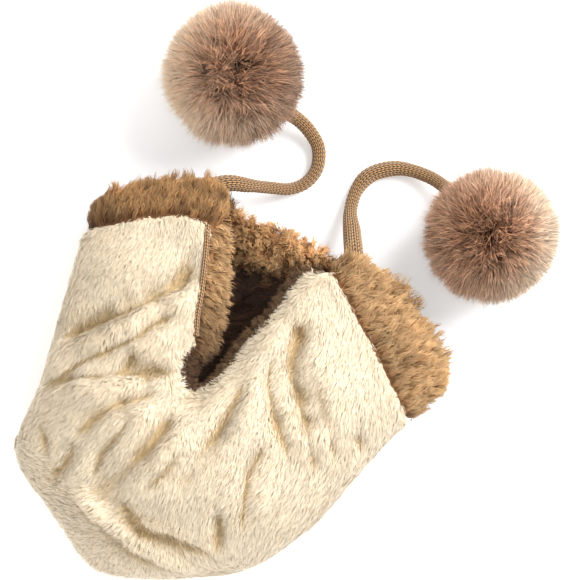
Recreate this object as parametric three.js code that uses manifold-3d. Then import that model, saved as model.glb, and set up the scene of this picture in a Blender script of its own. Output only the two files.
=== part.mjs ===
// Plush hood with ear flaps, knitted ties and fur pompoms, lying on the back of the head.
// Millimetres. X runs across the hood, Y from the crown to the neck edge, Z up from the surface it lies on.
import * as THREE from "three";
import { mergeVertices } from "three/addons/utils/BufferGeometryUtils.js";
import Module from "manifold-3d";

const wasm = await Module();
wasm.setup();
const { Manifold, Mesh } = wasm;

// Walls, and the gaps that pieces keep.
const GAP = 0.35;
const LAYER_GAP = 0.8;
const PLUSH_THICK = 4;
const LINING_THICK = 6.5;
const CUFF_OUT = 4;
const CUFF_SIDE = 1;
const CUFF_IN = 13;
const CUFF_FLOOR = 12;
const BINDING_THICK = 6;

// Shape of the cross sections, and how finely they are meshed.
const TOP_ROUNDNESS = 2.5;
const FLOOR_ROUNDNESS = 4;
const FLOOR_SINK = 2;
const TOP_COLUMNS = 30;
const FLOOR_COLUMNS = 8;
const NAPE_COLUMNS = 22;
const LAYER_SPLIT_Z = 24;
const ABOVE_ALL = 140;
const BELOW_ALL = -20;

// Knitted ties, pompoms and locks of fur.
const CORD_RADIUS = 5.75;
const CORD_SIDES = 8;
const CORD_STEPS = 30;
const CORD_CLEARANCE = 0.5;
const POMPOM_HEAD = 0.78;
const LOCK_SPACING = 13;
const LOCK_WIDTH = 12;
const LOCK_LENGTH = 13;
const ROOT_REACH = 5;

// Cross sections of the hood: its left and right folds, the height of its top and of its folds.
const SECTIONS = [
  { y: 170, left: -147, right: 147, top: 46, mid: 23 },
  { y: 140, left: -146, right: 147, top: 50, mid: 24 },
  { y: 100, left: -142.5, right: 142.5, top: 58, mid: 25 },
  { y: 85, left: -139, right: 138.5, top: 61, mid: 25 },
  { y: 62, left: -133, right: 131.5, top: 66, mid: 26 },
  { y: 42, left: -128, right: 125.5, top: 70, mid: 27 },
  { y: 8, left: -119, right: 117.5, top: 76, mid: 28 },
  { y: -32, left: -108, right: 109.5, top: 82, mid: 30 },
  { y: -50, left: -104.5, right: 101.5, top: 83, mid: 30 },
  { y: -72, left: -103, right: 91.5, top: 81, mid: 30 },
  { y: -92, left: -98, right: 74, top: 76, mid: 30 },
  { y: -103, left: -84.5, right: 57.5, top: 68, mid: 30 },
  { y: -110, left: -67.5, right: 47.5, top: 60, mid: 29 },
  { y: -117, left: -54, right: 38, top: 52, mid: 28 },
  { y: -124.5, left: -38, right: 24, top: 43, mid: 27 },
  { y: -132, left: -25, right: 8, top: 35, mid: 26 },
  { y: -137.5, left: -8, right: -8, top: 25, mid: 25 },
];

// Where the mesh has rows along Y: evenly down the side, then closer together round the crown.
const SIDE_ROWS = { from: 152, to: -85, count: 20 };
const CROWN_ROWS = [-93, -99, -105, -111, -117, -124.5, -132, -137.5];

// Folds in the plush on the upper side, valleys along bent lines of x and y. A ridge has a negative depth.
const FOLDS = [
  { place: "left flap, long", depth: 9, width: 8, line: [[-55, 84], [-56, 64], [-80, 40], [-102, -4]] },
  { place: "left flap, second", depth: 7, width: 7, line: [[-50, 44], [-62, 25], [-75, 4], [-90, -17]] },
  { place: "left pocket", depth: 11, width: 9, line: [[-44, 4], [-57, 1], [-66, -13]] },
  { place: "below face, left", depth: 9, width: 7, line: [[-31, -6], [-51, -27], [-62, -45], [-70, -61]] },
  { place: "beside that one", depth: 5, width: 6, line: [[-40, -27], [-42, -47], [-49, -64]] },
  { place: "below face, middle", depth: 8, width: 7, line: [[-14, -20], [-21, -62], [-29, -79]] },
  { place: "below face, right", depth: 5, width: 7, line: [[20, -4], [15, -30], [13, -49]] },
  { place: "crown, right pleat", depth: 6, width: 5, line: [[50, -58], [56, -80]] },
  { place: "along the crown seam", depth: 4.5, width: 6, line: [[-20, -80], [6, -94], [24, -94], [42, -91]] },
  { place: "left shoulder", depth: 6, width: 6, line: [[-100, -58], [-84, -68], [-61, -77]] },
  { place: "right flap", depth: 12, width: 8, line: [[34, 78], [37, 62], [45, 47], [57, 39], [68, 30]] },
  { place: "beside that one", depth: 5, width: 7, line: [[27, 47], [37, 33], [43, 20], [57, 11]] },
  { place: "crown seam", depth: -5, width: 5, line: [[-93, -62], [-33, -95], [4, -105], [50, -103]] },
  { place: "face opening", depth: 15, width: 25, line: [[-8, 135], [-8, 60], [-14, 12]] },
];

// Full places between the folds on the upper side.
const BULGES = [
  { x: 85, y: 45, rise: 6, radius: 30 },
  { x: -95, y: 62, rise: 5, radius: 26 },
  { x: -20, y: -50, rise: 4, radius: 26 },
  { x: 55, y: -30, rise: 4, radius: 32 },
];

// The lower layer rises in the middle of the neck edge.
const NAPE = { x: -12, halfWidth: 30, rise: 26, fromY: 62, toY: 128, left: -57, right: 34, top: 60 };

// Rows along the face opening, from the left flap down and up to the right one: a point of the plush edge,
// the free edge of the binding, and how far the binding drops.
const OPENING = [
  { x: -56.5, y: 106, freeX: -46.5, freeY: 115.5, drop: 6 },
  { x: -50, y: 92, freeX: -35, freeY: 98, drop: 9 },
  { x: -39, y: 67, freeX: -22, freeY: 73, drop: 12 },
  { x: -32.7, y: 50, freeX: -16.5, freeY: 54, drop: 14 },
  { x: -25, y: 34, freeX: -12.5, freeY: 38, drop: 15 },
  { x: -28, y: 22, freeX: -15, freeY: 23, drop: 16 },
  { x: -24, y: 10, freeX: -13, freeY: 13, drop: 15 },
  { x: -16, y: 1.5, freeX: -11, freeY: 9, drop: 13 },
  { x: -8.5, y: 2.5, freeX: -8.5, freeY: 9.5, drop: 12 },
  { x: -2, y: 9, freeX: -6, freeY: 13, drop: 11 },
  { x: 5, y: 25, freeX: -1, freeY: 28, drop: 12 },
  { x: 6.3, y: 41, freeX: 0.3, freeY: 42, drop: 12 },
  { x: 8.6, y: 58, freeX: 3, freeY: 60, drop: 12 },
  { x: 14, y: 74, freeX: 8, freeY: 76, drop: 12 },
  { x: 15.5, y: 95, freeX: 9.5, freeY: 95, drop: 11 },
  { x: 17, y: 107, freeX: 11.5, freeY: 109, drop: 9 },
  { x: 24, y: 117, freeX: 19, freeY: 121, drop: 7 },
];

// Points where the plush ends at the cuff, each row an x and a y: on the left flap from its fold to the face
// opening, on the right flap from the face opening to its fold, and on the lower layer from left to right.
const LEFT_HEM = [[-165, 40], [-131.8, 63.2], [-112.9, 79.5], [-90.6, 97], [-73.4, 107], [-61.5, 109]];
const RIGHT_HEM = [[30, 122.4], [50, 111.6], [83.7, 90.5], [126.2, 62.3], [160, 40]];
const NAPE_HEM = [[-65, 89.5], [-31.4, 92], [-20, 98.5], [-4, 102.4], [13.8, 107.2], [55, 101.5]];

// Points of the neck edge, in the same way. The folds' points serve both layers.
const LEFT_FOLD_RIM = [[-152, 63], [-138, 83], [-129, 95]];
const LEFT_RIM = [[-103, 117], [-80, 132], [-64, 138.5], [-58, 136], [-46.5, 117]];
const RIGHT_RIM = [[35, 137], [41, 142], [60, 140], [73, 138.5], [89, 132], [104, 124.5], [125, 113]];
const RIGHT_FOLD_RIM = [[136, 104], [141, 95], [160, 76]];
const NAPE_RIM = [
  [-103, 112], [-80, 124], [-64, 130], [-22, 132], [3, 137], [52, 136], [89, 124], [125, 109],
];

// Points of the seam between the side and the crown panel.
const CROWN_SEAM = [
  [-140, -50], [-104, -57], [-93, -62], [-72, -75], [-33, -95], [-12, -99], [4, -105], [56, -103], [90, -112],
];

// The ties, each with its pompom and its route of x, y and z: from the flap down to the surface, along it,
// and up into the pompom.
const TIES = [
  {
    side: "left",
    pompom: { x: -96.6, y: 209.5, z: 47, radius: 50 },
    route: [
      [-68, 134, 42], [-60, 140, 40], [-47.2, 147.5, 30], [-34, 154, 17], [-21.5, 161, 8.5], [-14, 172, 6.4],
      [-12, 186, 6.2], [-19.3, 200.5, 6.6], [-31.6, 208, 10], [-43, 208.9, 15], [-61, 208, 24],
    ],
  },
  {
    side: "right",
    pompom: { x: 116.5, y: 200.1, z: 45, radius: 47.5 },
    route: [
      [46, 133, 42], [41, 141, 39], [31, 156, 25], [22, 171, 11], [17, 187, 6.4], [22, 201, 6.2],
      [37, 213.5, 6.6], [58.5, 217.5, 10], [74, 216.5, 16], [87, 212, 24],
    ],
  },
];

// Middle of the hood without its ties, which becomes the origin.
const MIDDLE = { x: 2, y: 4.3 };

const PLUSH = { color: 0xefe2c6, roughness: 0.9 };
const FUR = { color: 0x9c734c, roughness: 0.95 };
const LINING_FUR = { color: 0x5a3d28, roughness: 0.95 };
const KNIT = { color: 0xb8966c, roughness: 0.85 };
const POMPOM_FUR = { color: 0x9a6f52, roughness: 0.95 };

const clamp01 = (v) => Math.min(1, Math.max(0, v));
const smooth = (v) => clamp01(v) ** 2 * (3 - 2 * clamp01(v));
const mix = (a, b, t) => a + (b - a) * t;

// A repeatable scatter from 0 to 1.
const scatter = (n) => {
  const v = Math.sin(n * 12.9898) * 43758.5453;
  return v - Math.floor(v);
};

// A closed solid from vertices and faces, turned outward if the faces run the other way.
function solid(vertices, faces) {
  const make = (order) =>
    new Manifold(
      new Mesh({
        numProp: 3,
        vertProperties: new Float32Array(vertices.flat()),
        triVerts: new Uint32Array(faces.flatMap(order)),
      }),
    );
  const made = make(([a, b, c]) => [a, b, c]);
  return made.volume() > 0 ? made : make(([a, b, c]) => [a, c, b]);
}

// A closed solid from a geometry.
function fromGeometry(geometry) {
  const bare = new THREE.BufferGeometry().setAttribute("position", geometry.getAttribute("position"));
  if (geometry.index) bare.setIndex(geometry.index);
  const merged = mergeVertices(bare, 1e-3);
  const v = merged.getAttribute("position");
  const vertices = Array.from({ length: v.count }, (_, i) => [v.getX(i), v.getY(i), v.getZ(i)]);
  const faces = [];
  for (let i = 0; i < merged.index.count; i += 3) {
    faces.push([0, 1, 2].map((k) => merged.index.getX(i + k)));
  }
  return solid(vertices, faces);
}

// Slope of a section's value by Y at a row.
function slopeAt(i, key) {
  const before = SECTIONS[Math.max(0, i - 1)];
  const after = SECTIONS[Math.min(SECTIONS.length - 1, i + 1)];
  return (after[key] - before[key]) / (after.y - before.y);
}

// A section's value at any Y, on a smooth curve through the rows.
function sectionValue(y, key) {
  let i = 0;
  while (i < SECTIONS.length - 2 && y < SECTIONS[i + 1].y) i += 1;
  const a = SECTIONS[i];
  const b = SECTIONS[i + 1];
  const span = b.y - a.y;
  const t = clamp01((y - a.y) / span);
  const rest = 1 - t;
  const start = a[key] * (1 + 2 * t) * rest ** 2 + slopeAt(i, key) * span * t * rest ** 2;
  return start + b[key] * t ** 2 * (3 - 2 * t) - slopeAt(i + 1, key) * span * t ** 2 * rest;
}

function distanceToLine(x, y, line) {
  let best = Infinity;
  for (let k = 0; k < line.length - 1; k += 1) {
    const [ax, ay] = line[k];
    const [bx, by] = line[k + 1];
    const length2 = (bx - ax) ** 2 + (by - ay) ** 2;
    const t = clamp01(((x - ax) * (bx - ax) + (y - ay) * (by - ay)) / length2);
    best = Math.min(best, Math.hypot(x - mix(ax, bx, t), y - mix(ay, by, t)));
  }
  return best;
}

// How far folds and full places move the upper side at a point. Each fold has a soft shoulder.
function foldedBy(x, y) {
  let z = 0;
  for (const fold of FOLDS) {
    const u = distanceToLine(x, y, fold.line) / fold.width;
    z -= fold.depth * (Math.exp(-(u ** 2)) - 0.3 * Math.exp(-((u - 1.9) ** 2) / 0.8));
  }
  for (const bulge of BULGES) {
    z += bulge.rise * Math.exp(-(((x - bulge.x) ** 2 + (y - bulge.y) ** 2) / bulge.radius ** 2));
  }
  return z;
}

function napeRise(x, y) {
  const across = Math.exp(-0.5 * ((x - NAPE.x) / NAPE.halfWidth) ** 2);
  return NAPE.rise * across * smooth((y - NAPE.fromY) / (NAPE.toY - NAPE.fromY));
}

// Height share of a rounded section at a share of its half width.
const roundShare = (u, power) => (1 - Math.min(1, Math.abs(u)) ** power) ** (1 / power);

// Height of the upper side of the hood at a point.
function topHeight(x, y) {
  const left = sectionValue(y, "left");
  const right = sectionValue(y, "right");
  const mid = sectionValue(y, "mid");
  const u = (x - (left + right) / 2) / ((right - left) / 2);
  const share = roundShare(u, TOP_ROUNDNESS);
  return mid + (sectionValue(y, "top") - mid) * share + foldedBy(x, y) * Math.sqrt(share);
}

const setIn = (depth) => ({ side: depth, top: depth, floor: depth });

// Points of one cross section, set in by the given depths at its sides, top and floor.
function sectionLoop(y, depths, columns) {
  const left = sectionValue(y, "left");
  const right = sectionValue(y, "right");
  const mid = sectionValue(y, "mid");
  const rise = Math.max(0, sectionValue(y, "top") - mid - depths.top);
  const drop = Math.max(0, mid + FLOOR_SINK - depths.floor);
  const half = Math.max(0, (right - left) / 2 - depths.side);
  const centre = (left + right) / 2;
  const moved = y + depths.side * smooth((-50 - y) / 70);
  const points = [];
  const place = (w, upper) => {
    const u = w * (1.25 - 0.25 * w * w);
    const x = centre + half * u;
    const outerX = centre + ((right - left) / 2) * u;
    if (upper) {
      const share = roundShare(u, TOP_ROUNDNESS);
      points.push([x, moved, mid + rise * share + foldedBy(outerX, y) * Math.sqrt(share)]);
    } else {
      const z = mid - drop * roundShare(u, FLOOR_ROUNDNESS);
      points.push([x, moved, Math.max(z, depths.floor) + napeRise(outerX, y)]);
    }
  };
  for (let i = 0; i < columns.top; i += 1) place(1 - (2 * i) / columns.top, true);
  for (let i = 0; i < columns.floor; i += 1) place(-1 + (2 * i) / columns.floor, false);
  return points;
}

// A solid through the cross sections, closed at the neck by a flat end and at the crown by a point. Its mesh
// may be a whole number of times coarser, and each cell is split along the fold that crosses it.
function skin(depths, coarser, floorColumns = FLOOR_COLUMNS) {
  const { from, to, count: sideCount } = SIDE_ROWS;
  const side = Array.from({ length: sideCount }, (_, i) => mix(from, to, i / (sideCount - 1)));
  const stations = [...side, ...CROWN_ROWS];
  const rows = stations.slice(0, -1).filter((y, i) => i % coarser === 0);
  const columns = { top: TOP_COLUMNS / coarser, floor: floorColumns / coarser };
  const loops = rows.map((y) => sectionLoop(y, depths, columns));
  const folded = rows.map((y) => sectionLoop(y, setIn(0), columns).map(([x]) => foldedBy(x, y)));
  const count = columns.top + columns.floor;
  const vertices = loops.flat();
  const neck = vertices.length;
  const crown = neck + 1;
  vertices.push([0, from, sectionValue(from, "mid")]);
  vertices.push(sectionLoop(stations[stations.length - 1], depths, columns)[0]);
  const faces = [];
  for (let i = 0; i < count; i += 1) {
    const j = (i + 1) % count;
    faces.push([neck, j, i]);
    for (let r = 0; r < loops.length - 1; r += 1) {
      const a = r * count + i;
      const b = r * count + j;
      const along = Math.abs(folded[r][i] - folded[r + 1][j]);
      const across = Math.abs(folded[r][j] - folded[r + 1][i]);
      if (along <= across || i >= columns.top) faces.push([a, b, b + count], [a, b + count, a + count]);
      else faces.push([a, b, a + count], [b, b + count, a + count]);
    }
    const last = (loops.length - 1) * count;
    faces.push([last + i, last + j, crown]);
  }
  return solid(vertices, faces);
}

// An outline with each side moved out by a margin, or in by a negative one.
function grown(outline, margin) {
  const count = outline.length;
  const turn = Math.sign(THREE.ShapeUtils.area(outline.map(([x, y]) => new THREE.Vector2(x, y))));
  const outward = ([ax, ay], [bx, by]) => {
    const length = Math.hypot(bx - ax, by - ay);
    return [(turn * (by - ay)) / length, (-turn * (bx - ax)) / length];
  };
  return outline.map(([x, y], i) => {
    const [nx, ny] = outward(outline[(i + count - 1) % count], outline[i]);
    const [mx, my] = outward(outline[i], outline[(i + 1) % count]);
    const share = margin / (1 + nx * mx + ny * my);
    return [x + share * (nx + mx), y + share * (ny + my)];
  });
}

// An upright block over an outline seen from above, grown by a margin.
function block(outline, margin, bottom, top) {
  const shape = new THREE.Shape(grown(outline, margin).map(([x, y]) => new THREE.Vector2(x, y)));
  const geometry = new THREE.ExtrudeGeometry(shape, { depth: top - bottom, bevelEnabled: false });
  return fromGeometry(geometry.translate(0, 0, bottom));
}

// The plush edge on the upper layer, and the closed outlines that follow from the hems and rims.
const reversed = (points) => [...points].reverse();
const openingEdge = OPENING.map(({ x, y }) => [x, y]);
const farNeck = [[200, 230], [-200, 230]];
const pastUpper = [...LEFT_HEM, ...openingEdge, ...RIGHT_HEM, ...farNeck];
const pastLower = [...LEFT_HEM.slice(0, 3), ...NAPE_HEM, ...RIGHT_HEM.slice(2), ...farNeck];
const cuffLeft = [...LEFT_FOLD_RIM, ...LEFT_RIM, openingEdge[0], ...reversed(LEFT_HEM)];
const cuffRight = [...reversed(RIGHT_FOLD_RIM), ...reversed(RIGHT_RIM), ...RIGHT_HEM];
const cuffNape = [
  ...LEFT_FOLD_RIM, ...NAPE_RIM, ...RIGHT_FOLD_RIM,
  ...reversed(RIGHT_HEM.slice(2)), ...reversed(NAPE_HEM), ...reversed(LEFT_HEM.slice(0, 3)),
];
const crownSide = [...CROWN_SEAM, [90, -200], [-140, -200]];

// What lies past the plush edge, above and below the folds between the two layers.
function pastPlushEdge() {
  const upper = block(pastUpper, GAP / 2, LAYER_SPLIT_Z, ABOVE_ALL);
  return upper.add(block(pastLower, GAP / 2, BELOW_ALL, LAYER_SPLIT_Z));
}

// The plush wall, cut off at its edge.
function plushWall() {
  return skin(setIn(0), 1).subtract(skin(setIn(PLUSH_THICK), 1)).subtract(pastPlushEdge());
}

function hoodSide() {
  return plushWall().subtract(block(crownSide, GAP / 2, BELOW_ALL, ABOVE_ALL));
}

function crownPanel() {
  return plushWall().intersect(block(crownSide, -GAP / 2, BELOW_ALL, ABOVE_ALL));
}

// The lining lies inside the side and the crown panel.
function furLining() {
  const outer = PLUSH_THICK + LAYER_GAP;
  return skin(setIn(outer), 1).subtract(skin(setIn(outer + LINING_THICK), 2)).subtract(pastPlushEdge());
}

// A soft pointed lock of fur, its root sunk in the backing.
function lock(root, direction, width, length) {
  const ahead = new THREE.Vector3(...direction).normalize();
  const aside = new THREE.Vector3().crossVectors(ahead, new THREE.Vector3(0.31, 0.17, 0.93)).normalize();
  const up = new THREE.Vector3().crossVectors(aside, ahead);
  const at = (forward, side, rise) =>
    new THREE.Vector3(...root)
      .addScaledVector(ahead, forward)
      .addScaledVector(aside, side)
      .addScaledVector(up, rise)
      .toArray();
  const half = width / 2;
  const vertices = [at(0, -half, 0), at(0, 0, half), at(0, half, 0), at(0, 0, -half), at(length, 0, 0)];
  return solid(vertices, [[0, 1, 4], [1, 2, 4], [2, 3, 4], [3, 0, 4], [0, 3, 1], [1, 3, 2]]);
}

// Whether a point lies in an outline, by the sides that a line from it crosses.
function pointInOutline(x, y, outline) {
  let inside = false;
  outline.forEach(([ax, ay], i) => {
    const [bx, by] = outline[(i + 1) % outline.length];
    if (ay > y !== by > y && x < ((bx - ax) * (y - ay)) / (by - ay) + ax) inside = !inside;
  });
  return inside;
}

// Whether a lock's whole root lies in an outline.
const rootInOutline = (x, y, outline) =>
  [[0, 0], [ROOT_REACH, 0], [-ROOT_REACH, 0], [0, -ROOT_REACH]].every(([dx, dy]) =>
    pointInOutline(x + dx, y + dy, outline),
  );

// Locks over a part of the cuff, in uneven rows, all combed one way.
function locksOver(outline, heightAt, lean, seed) {
  const locks = [];
  let n = seed;
  for (let y = 60; y < 145; y += LOCK_SPACING) {
    for (let x = -140; x < 145; x += LOCK_SPACING) {
      n += 1;
      const px = x + 5 * scatter(n);
      const py = y + 5 * scatter(n + 0.5);
      if (!rootInOutline(px, py, outline)) continue;
      const [along, up] = lean;
      const direction = [scatter(n + 0.2) - 0.5, along, up];
      locks.push(lock([px, py, heightAt(px, py)], direction, LOCK_WIDTH, LOCK_LENGTH));
    }
  }
  return locks;
}

// Locks that stand out past the neck edge of one layer of the cuff, whose rim runs from left to right.
function rimLocks(rim, heightAt, seed) {
  const locks = [];
  for (let k = 0; k < rim.length - 1; k += 1) {
    const [ax, ay] = rim[k];
    const [bx, by] = rim[k + 1];
    const length = Math.hypot(bx - ax, by - ay);
    const count = Math.max(1, Math.round(length / LOCK_SPACING));
    const outX = -(by - ay) / length;
    const outY = (bx - ax) / length;
    for (let i = 0; i < count; i += 1) {
      const t = (i + 0.5) / count;
      const x = mix(ax, bx, t) - outX * ROOT_REACH;
      const y = mix(ay, by, t) - outY * ROOT_REACH;
      const sway = 0.5 * scatter(seed + 10 * k + i) - 0.25;
      locks.push(lock([x, y, heightAt(x, y)], [outX + sway, outY, sway], LOCK_WIDTH, 0.8 * LOCK_LENGTH));
    }
  }
  return locks;
}

// The cuff: a thick band over each flap's edge and round the nape, with its locks.
function neckCuff() {
  const band = (above, coarser, floorColumns) =>
    skin({ side: -CUFF_SIDE, top: -CUFF_OUT - above, floor: 0 }, 1, floorColumns).subtract(
      skin({ side: CUFF_IN, top: CUFF_IN - above, floor: CUFF_FLOOR }, coarser, floorColumns),
    );
  const { left, right, top, fromY, toY } = NAPE;
  const middle = block([[left, fromY], [right, fromY], [right, 2 * toY], [left, 2 * toY]], 0, BELOW_ALL, top);
  const nape = band(2 * top, 1, NAPE_COLUMNS)
    .intersect(block(cuffNape, -GAP / 2, BELOW_ALL, top))
    .intersect(middle);
  const flaps = Manifold.union([
    block(cuffLeft, -GAP / 2, LAYER_SPLIT_Z, ABOVE_ALL),
    block(cuffRight, -GAP / 2, LAYER_SPLIT_Z, ABOVE_ALL),
    block(cuffNape, -GAP / 2, BELOW_ALL, LAYER_SPLIT_Z).subtract(middle),
  ]);
  const onFlap = (x, y) => topHeight(x, y) + CUFF_OUT - 3.5;
  const inFlap = (x, y) => topHeight(x, y) - CUFF_OUT;
  const onNape = (x, y) => napeRise(x, y) + CUFF_FLOOR - 3;
  const inNape = (x, y) => napeRise(x, y) + CUFF_FLOOR / 2;
  return Manifold.union([
    band(0, 2, FLOOR_COLUMNS).intersect(flaps),
    nape,
    ...locksOver(cuffLeft, onFlap, [1.2, 0.6], 0),
    ...locksOver(cuffRight, onFlap, [1.2, 0.6], 400),
    ...locksOver(cuffNape.filter(([x]) => x > left && x < right), onNape, [-0.7, 1], 900),
    ...rimLocks([LEFT_FOLD_RIM[2], ...LEFT_RIM.slice(0, 3)], inFlap, 1100),
    ...rimLocks([...RIGHT_RIM, RIGHT_FOLD_RIM[0]], inFlap, 1300),
    ...rimLocks(NAPE_RIM.slice(1, 7), inNape, 1500),
  ]);
}

// The binding: a strip from the plush edge down into the opening.
function faceBinding() {
  const profiles = OPENING.map(({ x, y, freeX, freeY, drop }) => {
    const z = topHeight(x, y);
    const middleX = mix(x, freeX, 0.5);
    const middleY = mix(y, freeY, 0.5);
    return [
      [x, y, z + 0.5],
      [middleX, middleY, z + 2 - drop * 0.3],
      [freeX, freeY, z + 1 - drop],
      [freeX, freeY, z + 1 - drop - BINDING_THICK],
      [middleX, middleY, z - BINDING_THICK - 2 - drop * 0.5],
      [x, y, z - BINDING_THICK - 3],
    ];
  });
  const around = profiles[0].length;
  const faces = [];
  for (let r = 0; r < profiles.length - 1; r += 1) {
    for (let i = 0; i < around; i += 1) {
      const a = r * around + i;
      const b = r * around + ((i + 1) % around);
      faces.push([a, b, b + around], [a, b + around, a + around]);
    }
  }
  const last = (profiles.length - 1) * around;
  for (let i = 1; i < around - 1; i += 1) faces.push([0, i + 1, i], [last, last + i, last + i + 1]);
  return solid(profiles.flat(), faces)
    .intersect(block(pastUpper, -GAP, BELOW_ALL, ABOVE_ALL))
    .subtract(block(cuffLeft, GAP / 2, BELOW_ALL, ABOVE_ALL))
    .subtract(block(cuffRight, GAP / 2, BELOW_ALL, ABOVE_ALL));
}

// A round cord along a route, made longer at both ends if asked.
function cordGeometry(route, radius, longer) {
  const points = route.map((p) => new THREE.Vector3(...p));
  const last = points.length - 1;
  if (longer > 0) {
    points[0].add(points[0].clone().sub(points[1]).setLength(longer));
    points[last].add(points[last].clone().sub(points[last - 1]).setLength(longer));
  }
  const section = new THREE.Shape();
  for (let i = 0; i < CORD_SIDES; i += 1) {
    const angle = (2 * Math.PI * i) / CORD_SIDES;
    const point = [radius * Math.cos(angle), radius * Math.sin(angle)];
    if (i === 0) section.moveTo(...point);
    else section.lineTo(...point);
  }
  return new THREE.ExtrudeGeometry(section, {
    steps: CORD_STEPS,
    bevelEnabled: false,
    extrudePath: new THREE.CatmullRomCurve3(points, false, "centripetal"),
  });
}

// The room that a cord needs in the pieces it leaves and enters.
const cordRoom = (route) => fromGeometry(cordGeometry(route, CORD_RADIUS + CORD_CLEARANCE, GAP));

// A pompom: a round head with a lock on every face, flattened where it rests.
function pompom({ x, y, z, radius }, seed) {
  const head = new THREE.IcosahedronGeometry(radius * POMPOM_HEAD, 2).getAttribute("position");
  const positions = [];
  for (let i = 0; i < head.count; i += 3) {
    const corners = [0, 1, 2].map((k) => new THREE.Vector3().fromBufferAttribute(head, i + k));
    const tip = corners[0].clone().add(corners[1]).add(corners[2]).normalize();
    const aside = new THREE.Vector3(scatter(seed + i), scatter(seed + i + 0.3), scatter(seed + i + 0.6));
    const reach = radius * mix(0.94, 1.03, scatter(seed + i + 0.8));
    tip.addScaledVector(aside.subScalar(0.5), 0.2).setLength(reach);
    for (let k = 0; k < 3; k += 1) {
      positions.push(...corners[k].toArray(), ...corners[(k + 1) % 3].toArray(), ...tip.toArray());
    }
  }
  const ball = new THREE.BufferGeometry();
  ball.setAttribute("position", new THREE.Float32BufferAttribute(positions, 3));
  const floor = new THREE.BoxGeometry(3 * radius, 3 * radius, radius).translate(x, y, -radius / 2);
  return fromGeometry(ball.translate(x, y, z)).subtract(fromGeometry(floor));
}

// A named mesh of a solid, with its own material.
function piece(name, look, made) {
  const data = made.getMesh();
  const indexed = new THREE.BufferGeometry();
  indexed.setAttribute("position", new THREE.BufferAttribute(new Float32Array(data.vertProperties), 3));
  indexed.setIndex(new THREE.BufferAttribute(new Uint32Array(data.triVerts), 1));
  const geometry = indexed.toNonIndexed();
  geometry.computeVertexNormals();
  const mesh = new THREE.Mesh(geometry, new THREE.MeshStandardMaterial(look));
  mesh.name = name;
  mesh.position.set(-MIDDLE.x, -MIDDLE.y, 0);
  return mesh;
}

const hood = new THREE.Group();
hood.name = "fur_hood";
const rooms = TIES.map(({ route }) => cordRoom(route));
hood.add(piece("hood_side", PLUSH, hoodSide()));
hood.add(piece("crown_panel", PLUSH, crownPanel()));
hood.add(piece("fur_lining", LINING_FUR, furLining()));
hood.add(piece("neck_cuff", FUR, neckCuff().subtract(Manifold.union(rooms))));
hood.add(piece("face_binding", FUR, faceBinding()));
TIES.forEach(({ side, route, pompom: ball }, i) => {
  hood.add(piece(side + "_cord", KNIT, fromGeometry(cordGeometry(route, CORD_RADIUS, 0))));
  hood.add(piece(side + "_pompom", POMPOM_FUR, pompom(ball, 7 * i + 1).subtract(rooms[i])));
});

export default hood;
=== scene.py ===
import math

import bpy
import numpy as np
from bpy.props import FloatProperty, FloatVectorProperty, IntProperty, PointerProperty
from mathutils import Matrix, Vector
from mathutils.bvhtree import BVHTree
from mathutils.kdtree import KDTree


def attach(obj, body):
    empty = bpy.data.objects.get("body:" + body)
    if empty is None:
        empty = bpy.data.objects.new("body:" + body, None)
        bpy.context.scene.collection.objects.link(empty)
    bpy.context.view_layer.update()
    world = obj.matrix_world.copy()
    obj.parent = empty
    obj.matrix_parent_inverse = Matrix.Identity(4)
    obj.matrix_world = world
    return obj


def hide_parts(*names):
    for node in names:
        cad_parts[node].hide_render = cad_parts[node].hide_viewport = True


bl_info = {
    "name": "Plush hood with knitted ties",
    "version": (1, 0, 0),
    "blender": (4, 5, 0),
    "location": "View3D > Sidebar > Hood",
    "description": "Builds the pile, fur, ties and pompoms of a plush hood round its solid frame",
    "category": "Object",
}

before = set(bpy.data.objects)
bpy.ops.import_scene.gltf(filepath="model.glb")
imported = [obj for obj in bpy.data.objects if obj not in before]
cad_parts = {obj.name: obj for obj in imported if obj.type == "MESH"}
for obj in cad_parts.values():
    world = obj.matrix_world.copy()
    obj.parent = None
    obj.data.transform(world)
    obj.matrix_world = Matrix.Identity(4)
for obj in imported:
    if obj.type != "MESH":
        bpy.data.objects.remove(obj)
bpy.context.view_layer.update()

MM = 0.001
BODY = "root"

# Middle of the hood in the source's own millimetres, which is the frame's origin.
MIDDLE = np.array((2.0, 4.3, 0.0))

# How the photograph looks at the hood: turn and height of the view in degrees, the point in the middle of the
# picture, the width that the picture spans there, and the lens.
VIEW_AZIMUTH = 29.6
VIEW_ELEVATION = 86.0
VIEW_AIM = (0.0112, 0.0944, 0.032)
VIEW_WIDTH = 0.406
LENS_MM = 100.0
SENSOR_MM = 36.0

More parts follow.
